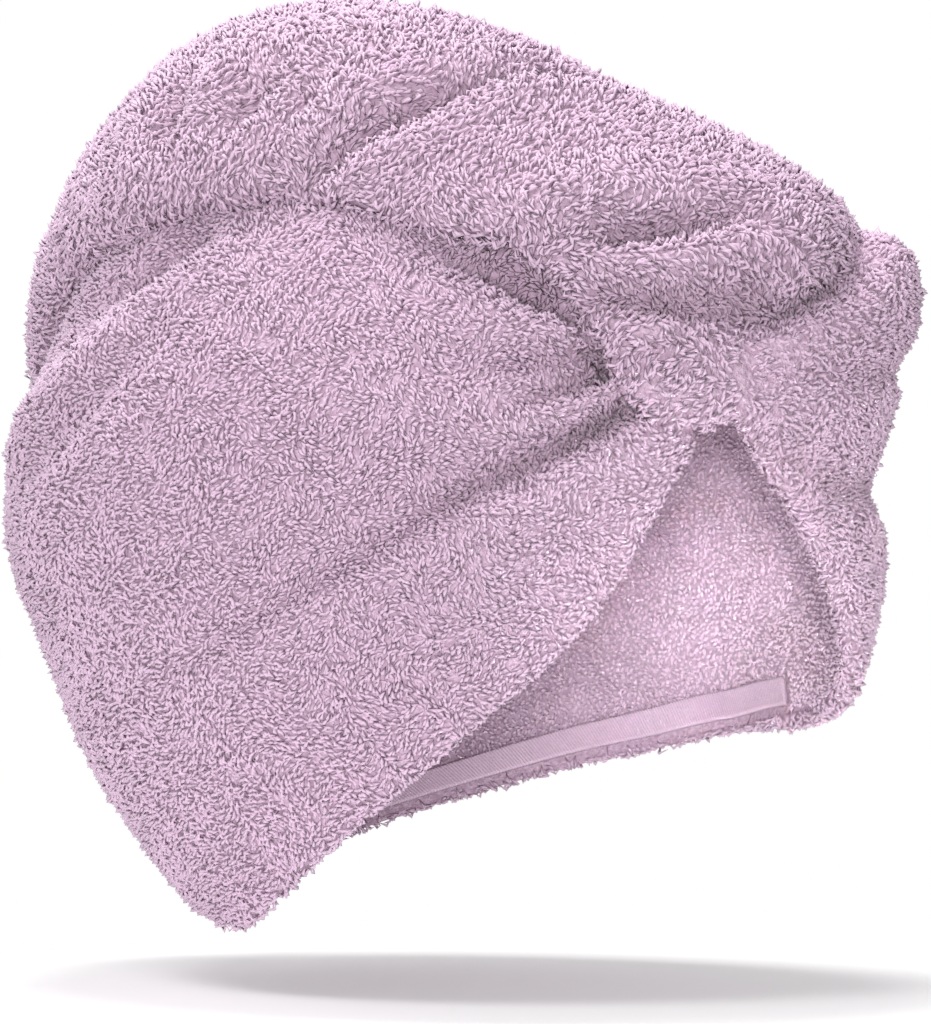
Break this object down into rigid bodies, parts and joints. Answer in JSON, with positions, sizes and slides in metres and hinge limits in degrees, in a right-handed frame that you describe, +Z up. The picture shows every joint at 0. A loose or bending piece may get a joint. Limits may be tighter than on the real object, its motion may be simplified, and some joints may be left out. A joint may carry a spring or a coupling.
{
  "type": "hair turban towel",
  "caption": "Terry hair turban worn on the head: a hood of two panels gathered at the forehead, with a twisted tail laid back over the crown and buttoned at the nape.",
  "frame": {"origin": "where the crown of the head touches the inside of the hood", "axes": "+Z up, -Y the way the wearer faces, +X the wearer's left"},
  "size_m": [0.2122, 0.2614, 0.2394],
  "materials": {
    "terry": "looped terry pile",
    "woven_band": "flat woven",
    "button": "matte"
  },
  "bodies": {
    "root": {"hood_right": "terry", "hood_left": "terry", "hem_band_right": "woven_band", "hem_band_left": "woven_band", "tail": "terry", "nape_button": "button"}
  },
  "joints": []
}
